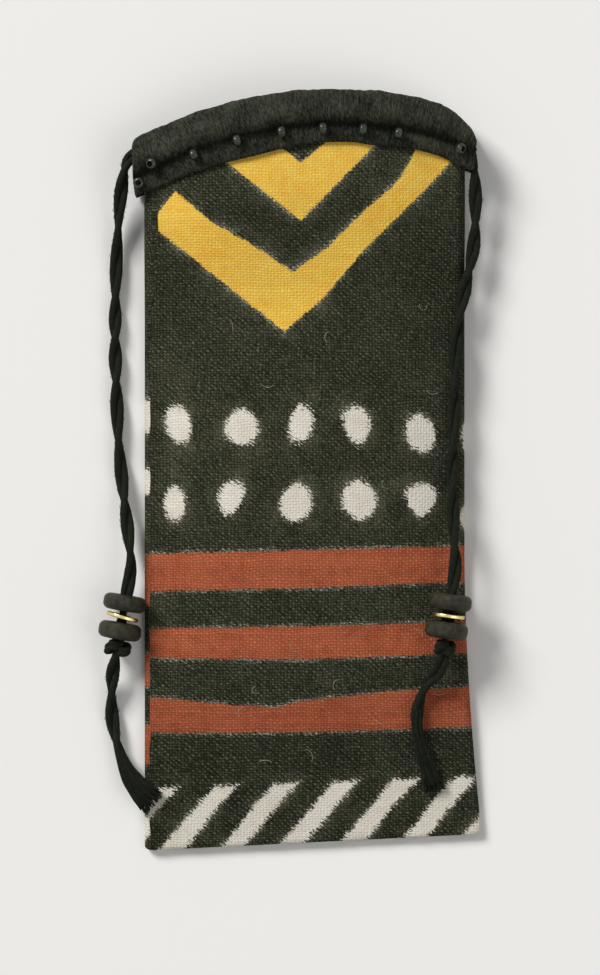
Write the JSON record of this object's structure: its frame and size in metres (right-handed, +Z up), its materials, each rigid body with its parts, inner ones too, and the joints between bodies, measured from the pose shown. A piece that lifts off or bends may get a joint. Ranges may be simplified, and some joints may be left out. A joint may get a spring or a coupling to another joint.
{
  "type": "mud cloth pouch",
  "caption": "Flat cloth pouch with an open leather-rolled mouth, seed bead stitches and a beaded cord at each side.",
  "frame": {"origin": "middle of the footprint of the cloth and leather, on the surface that the pouch's back lies on", "axes": "+X to the fold at the right, +Y to the mouth, +Z up out of the printed front"},
  "size_m": [0.0962, 0.1905, 0.0186],
  "materials": {
    "mud_cloth": "matte hand-woven cotton, printed",
    "black_leather": "matte, napped",
    "black_glass": "glossy, opaque",
    "black_disc": "satin",
    "brass": "polished",
    "black_cord": "matte twisted cotton"
  },
  "bodies": {
    "root": {"cloth_body": "mud_cloth", "front_binding": "black_leather", "back_binding": "black_leather", "seed_bead_1": "black_glass", "seed_bead_2": "black_glass", "seed_bead_3": "black_glass", "seed_bead_4": "black_glass", "seed_bead_5": "black_glass", "seed_bead_6": "black_glass", "seed_bead_7": "black_glass", "seed_bead_8": "black_glass", "seed_bead_9": "black_glass", "left_cord": "black_cord", "left_knot": "black_cord", "right_cord": "black_cord", "right_knot": "black_cord"},
    "left_bead_stack": {"left_lower_disc_bead": "black_disc", "left_brass_washer": "brass", "left_upper_disc_bead": "black_disc"},
    "right_bead_stack": {"right_lower_disc_bead": "black_disc", "right_brass_washer": "brass", "right_upper_disc_bead": "black_disc"}
  },
  "joints": [
    {"name": "left_bead_slide", "type": "slide", "parent": "root", "child": "left_bead_stack", "axis": [0.171, 0.9853, 0], "range_m": [0, 0.006]},
    {"name": "right_bead_slide", "type": "slide", "parent": "root", "child": "right_bead_stack", "axis": [0.139, 0.9903, 0], "range_m": [0, 0.006]}
  ]
}
